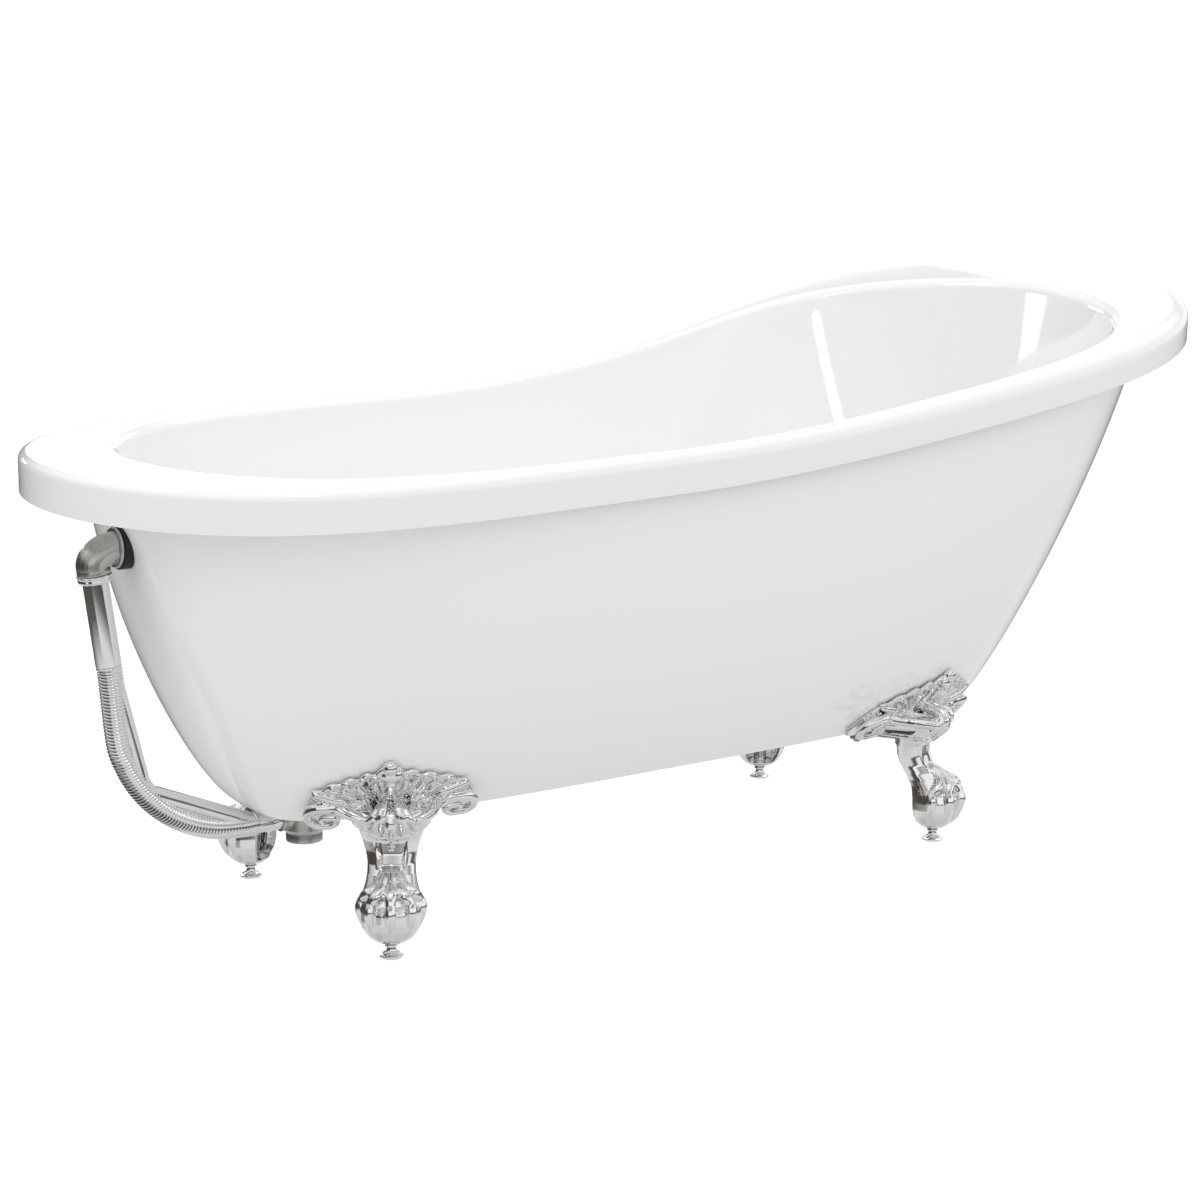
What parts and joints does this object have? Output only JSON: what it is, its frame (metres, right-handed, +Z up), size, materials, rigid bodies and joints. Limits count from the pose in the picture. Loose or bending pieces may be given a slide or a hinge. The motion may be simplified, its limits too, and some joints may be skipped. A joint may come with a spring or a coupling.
{
  "type": "freestanding bathtub",
  "caption": "Single-ended slipper bathtub with a rolled rim on cast claw feet with levelling pads, an exposed overflow pipe and hose, and a lift-up plug.",
  "frame": {"origin": "on the floor under the middle of the tub", "axes": "+X along the tub from the drain end to the raised head end, +Y to the far side, +Z up"},
  "size_m": [1.55, 0.7784, 0.7568],
  "materials": {
    "acrylic": "white gloss",
    "board": "raw plywood",
    "steel": "zinc plated",
    "chrome": "polished",
    "nickel": "brushed nickel",
    "rubber": "matte black"
  },
  "bodies": {
    "root": {"inner_shell": "acrylic", "outer_shell": "acrylic", "base_board": "board", "drain_gasket": "rubber", "drain_flange": "chrome", "shoe_gasket": "rubber", "waste_shoe": "nickel", "outlet_ring": "nickel", "overflow_outer_gasket": "rubber", "overflow_inner_gasket": "rubber", "overflow_elbow": "nickel", "overflow_rose": "chrome", "overflow_screw": "chrome", "overflow_collar": "chrome", "overflow_pipe": "chrome", "overflow_hose": "chrome", "lower_pipe": "chrome", "claw_foot_drain_near": "chrome", "lock_nut_drain_near": "chrome", "spreader_plate_drain_near": "steel", "foot_bolt_drain_near": "steel", "foot_washer_drain_near": "steel", "foot_nut_drain_near": "steel", "claw_foot_drain_far": "chrome", "lock_nut_drain_far": "chrome", "spreader_plate_drain_far": "steel", "foot_bolt_drain_far": "steel", "foot_washer_drain_far": "steel", "foot_nut_drain_far": "steel", "claw_foot_head_near": "chrome", "lock_nut_head_near": "chrome", "spreader_plate_head_near": "steel", "foot_bolt_head_near": "steel", "foot_washer_head_near": "steel", "foot_nut_head_near": "steel", "claw_foot_head_far": "chrome", "lock_nut_head_far": "chrome", "spreader_plate_head_far": "steel", "foot_bolt_head_far": "steel", "foot_washer_head_far": "steel", "foot_nut_head_far": "steel"},
    "plug": {"plug_cap": "chrome", "plug_seal": "rubber", "plug_stem": "nickel"},
    "leveller_drain_near_body": {"leveller_drain_near": "chrome"},
    "leveller_drain_far_body": {"leveller_drain_far": "chrome"},
    "leveller_head_near_body": {"leveller_head_near": "chrome"},
    "leveller_head_far_body": {"leveller_head_far": "chrome"}
  },
  "joints": [
    {"name": "leveller_drain_near_height", "type": "slide", "parent": "root", "child": "leveller_drain_near_body", "axis": [0, 0, -1], "range_m": [0, 0.012]},
    {"name": "leveller_drain_far_height", "type": "slide", "parent": "root", "child": "leveller_drain_far_body", "axis": [0, 0, -1], "range_m": [0, 0.012]},
    {"name": "leveller_head_near_height", "type": "slide", "parent": "root", "child": "leveller_head_near_body", "axis": [0, 0, -1], "range_m": [0, 0.012]},
    {"name": "leveller_head_far_height", "type": "slide", "parent": "root", "child": "leveller_head_far_body", "axis": [0, 0, -1], "range_m": [0, 0.012]},
    {"name": "plug_lift", "type": "slide", "parent": "root", "child": "plug", "axis": [0, 0, 1], "range_m": [0, 0.009]}
  ]
}
